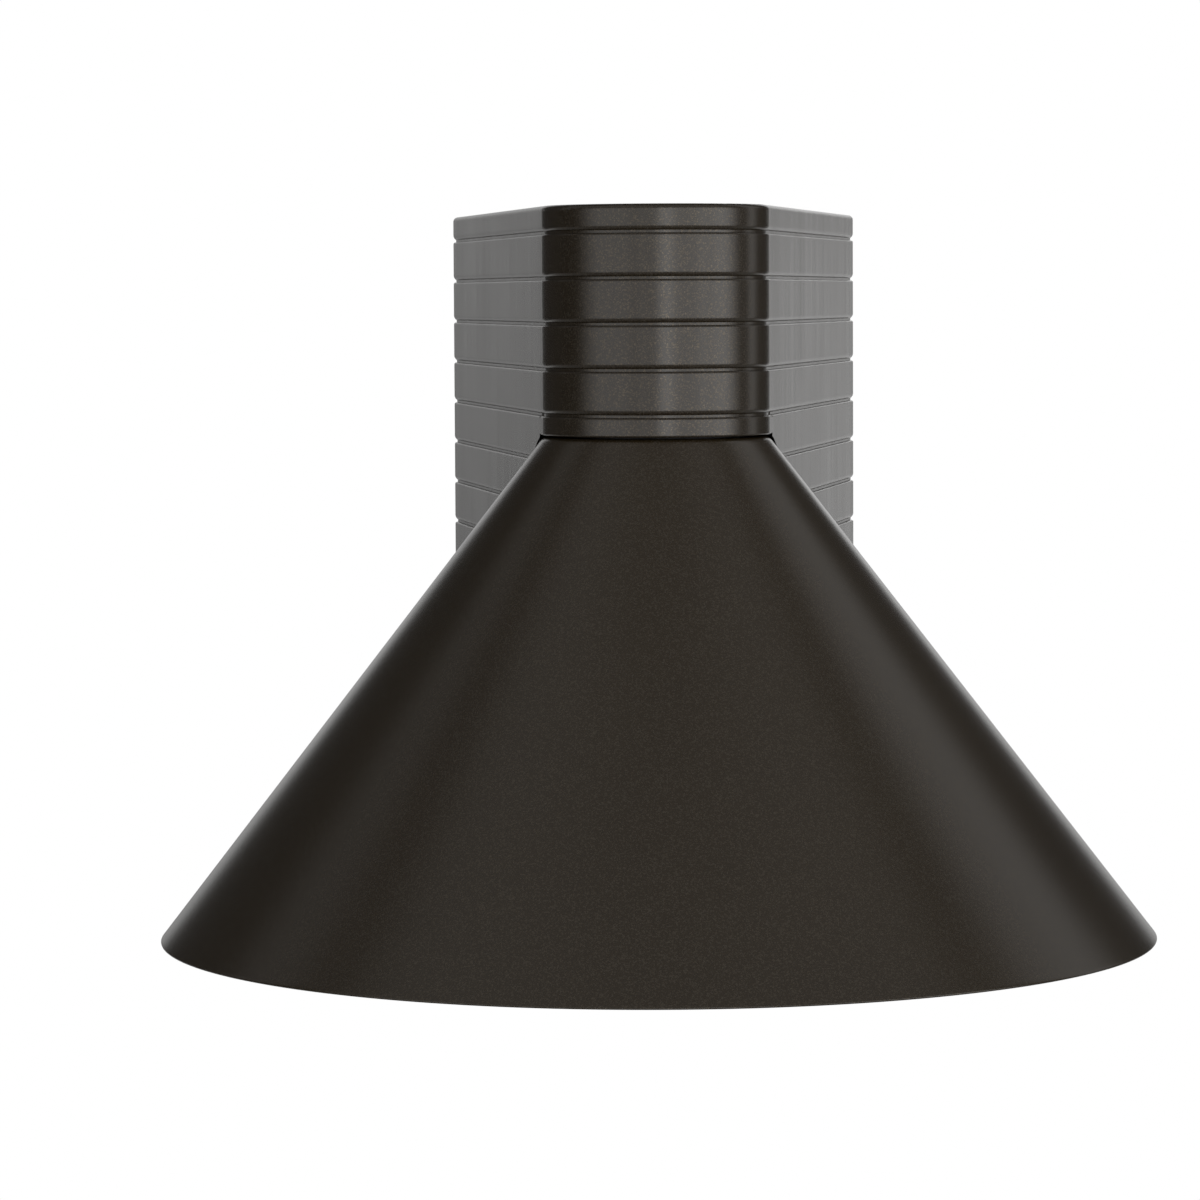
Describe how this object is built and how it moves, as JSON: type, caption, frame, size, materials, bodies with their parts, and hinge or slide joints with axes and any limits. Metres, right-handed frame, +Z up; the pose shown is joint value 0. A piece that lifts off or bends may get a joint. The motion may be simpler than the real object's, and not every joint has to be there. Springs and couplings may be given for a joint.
{
  "type": "outdoor wall sconce",
  "caption": "Outdoor wall light: a grooved, tapering cast housing with a round nose over a plain spun cone shade, open below, with a screw lampholder and bulb inside.",
  "frame": {"origin": "centre of the mounting plate's two slots, on the wall plane", "axes": "+X to the right as seen from the front, +Y into the wall, +Z up"},
  "size_m": [0.3047, 0.3424, 0.2234],
  "materials": {
    "bronze_powder_coat": "satin, fine metallic speckle",
    "dark_screws": "blackened stainless",
    "foam_gasket": "matt closed-cell foam",
    "zinc_plate": "bright zinc plated",
    "green_screw": "green passivated",
    "block_plastic": "moulded, slightly satin",
    "brass": "plain brass",
    "steel_screws": "zinc plated",
    "collar_aluminium": "turned, black anodised",
    "seal_rubber": "moulded",
    "bushing_plastic": "moulded",
    "tinned_tag": "tinned",
    "holder_cap": "drawn, satin",
    "porcelain": "glazed white",
    "frosted_globe": "frosted white",
    "bulb_plastic": "moulded white",
    "bulb_board": "white coated",
    "bulb_shell": "nickel plated",
    "black_glass": "black glass",
    "black_lead": "insulation",
    "white_lead": "insulation",
    "green_lead": "insulation"
  },
  "bodies": {
    "root": {"housing": "bronze_powder_coat", "shade": "bronze_powder_coat", "shade_set_screws": "dark_screws", "housing_screws": "dark_screws", "wall_gasket": "foam_gasket", "mounting_plate": "zinc_plate", "clinch_nuts": "zinc_plate", "nipple_nut": "zinc_plate", "nipple_lock_washer": "zinc_plate", "nipple": "zinc_plate", "shade_washer": "zinc_plate", "ground_screw": "green_screw", "terminal_block": "block_plastic", "terminal_clamps": "brass", "terminal_screws": "brass", "socket_shell": "brass", "socket_contact": "brass", "socket_contact_rivet": "brass", "socket_terminal_screws": "brass", "terminal_fixing_screws": "steel_screws", "shade_collar": "collar_aluminium", "collar_seal": "seal_rubber", "nipple_bushing": "bushing_plastic", "ground_ring": "tinned_tag", "socket_cap": "holder_cap", "socket_body": "porcelain", "lead_live": "black_lead", "lead_neutral": "white_lead", "lead_ground": "green_lead"},
    "bulb": {"bulb_globe": "frosted_globe", "bulb_neck": "bulb_plastic", "bulb_board": "bulb_board", "bulb_cap": "bulb_shell", "bulb_insulator": "black_glass", "bulb_contact": "bulb_shell"}
  },
  "joints": [
    {"name": "bulb_unscrew", "type": "slide", "parent": "root", "child": "bulb", "axis": [0, 0, -1], "range_m": [0, 0.03]}
  ]
}
